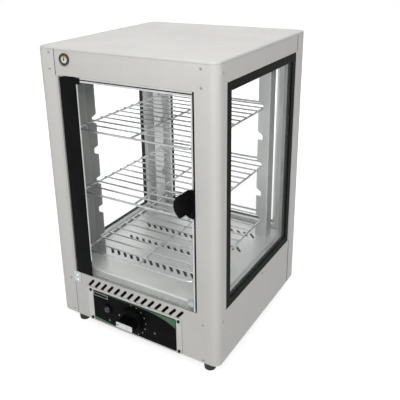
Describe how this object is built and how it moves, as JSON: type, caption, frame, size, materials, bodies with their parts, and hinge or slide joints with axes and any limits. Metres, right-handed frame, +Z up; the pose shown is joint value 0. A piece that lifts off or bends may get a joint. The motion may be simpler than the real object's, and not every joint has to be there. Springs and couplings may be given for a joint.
{
  "type": "heated display case",
  "caption": "Free-standing heated display cabinet with glass door, glazed sides and rear, wire racks on notched uprights, slotted deck, thermostat knob and round thermometer.",
  "frame": {"origin": "on the surface the feet stand on, under the middle of the bounding box", "axes": "+Z up, -Y out of the door side, +X to the right seen from the front"},
  "size_m": [0.35, 0.392, 0.5525],
  "materials": {
    "coat": "powder coat, light warm grey, satin",
    "inner_steel": "fine brushed sheet",
    "zinc_sheet": "plain sheet steel",
    "chrome": "bright plated",
    "rack_wire": "plated wire, satin",
    "gasket": "black, matt",
    "foot_rubber": "black, matt",
    "glass": "clear float glass, polished edges",
    "black_plastic": "black, satin",
    "film": "black printed film",
    "silver_face": "silver, satin",
    "trim": "bright strip",
    "lamp_lens": "dark green, unlit",
    "dial": "white dial",
    "ceramic": "cream",
    "element": "dark, oxidised"
  },
  "bodies": {
    "case": {"front_right_shell": "coat", "rear_left_shell": "coat", "roof_cap": "coat", "chamber_liner": "inner_steel", "ceiling_panel": "inner_steel", "deck_plate": "inner_steel", "upright_front_left": "inner_steel", "upright_front_right": "inner_steel", "upright_rear_left": "inner_steel", "upright_rear_right": "inner_steel", "heater_pan": "zinc_sheet", "base_tray": "zinc_sheet", "heater_bracket_front": "zinc_sheet", "heater_bracket_rear": "zinc_sheet", "control_plate": "zinc_sheet", "door_hinge_lower": "chrome", "door_hinge_upper": "chrome", "gauge_case": "chrome", "door_seal": "gasket", "right_window_gasket": "gasket", "left_window_gasket": "gasket", "rear_window_gasket": "gasket", "foot_front_left": "foot_rubber", "foot_front_right": "foot_rubber", "foot_rear_left": "foot_rubber", "foot_rear_right": "foot_rubber", "right_window_glass": "glass", "left_window_glass": "glass", "rear_window_glass": "glass", "gauge_lens": "glass", "magnet_catch": "black_plastic", "lamp_bezel": "black_plastic", "cable_gland": "black_plastic", "control_film": "film", "lamp_lens": "lamp_lens", "gauge_dial": "dial", "terminal_block": "ceramic", "heating_element": "element", "thermostat_body": "element"},
    "door": {"door_glass": "glass", "door_stile": "black_plastic", "door_edge_trim": "trim", "door_handle": "black_plastic", "handle_back_plate": "chrome", "door_strike": "chrome"},
    "knob": {"knob": "black_plastic", "knob_shaft": "zinc_sheet", "knob_face": "silver_face"},
    "needle": {"gauge_needle": "black_plastic"},
    "rack_lower": {"rack_lower": "rack_wire"},
    "rack_middle": {"rack_middle": "rack_wire"},
    "rack_upper": {"rack_upper": "rack_wire"}
  },
  "joints": [
    {"name": "door_hinge", "type": "hinge", "parent": "case", "child": "door", "pos_m": [-0.1255, -0.165, 0.3], "axis": [0, 0, -1], "range_deg": [0, 110]},
    {"name": "thermostat_turn", "type": "hinge", "parent": "case", "child": "knob", "pos_m": [-0.0012, -0.1845, 0.0649], "axis": [0, 1, 0], "range_deg": [0, 300]},
    {"name": "needle_turn", "type": "hinge", "parent": "case", "child": "needle", "pos_m": [-0.112, -0.168, 0.534], "axis": [0, 1, 0], "range_deg": [-135, 135]},
    {"name": "rack_lower_slide", "type": "slide", "parent": "case", "child": "rack_lower", "axis": [0, -1, 0], "range_m": [0, 0.01]},
    {"name": "rack_middle_slide", "type": "slide", "parent": "case", "child": "rack_middle", "axis": [0, -1, 0], "range_m": [0, 0.01]},
    {"name": "rack_upper_slide", "type": "slide", "parent": "case", "child": "rack_upper", "axis": [0, -1, 0], "range_m": [0, 0.01]}
  ]
}
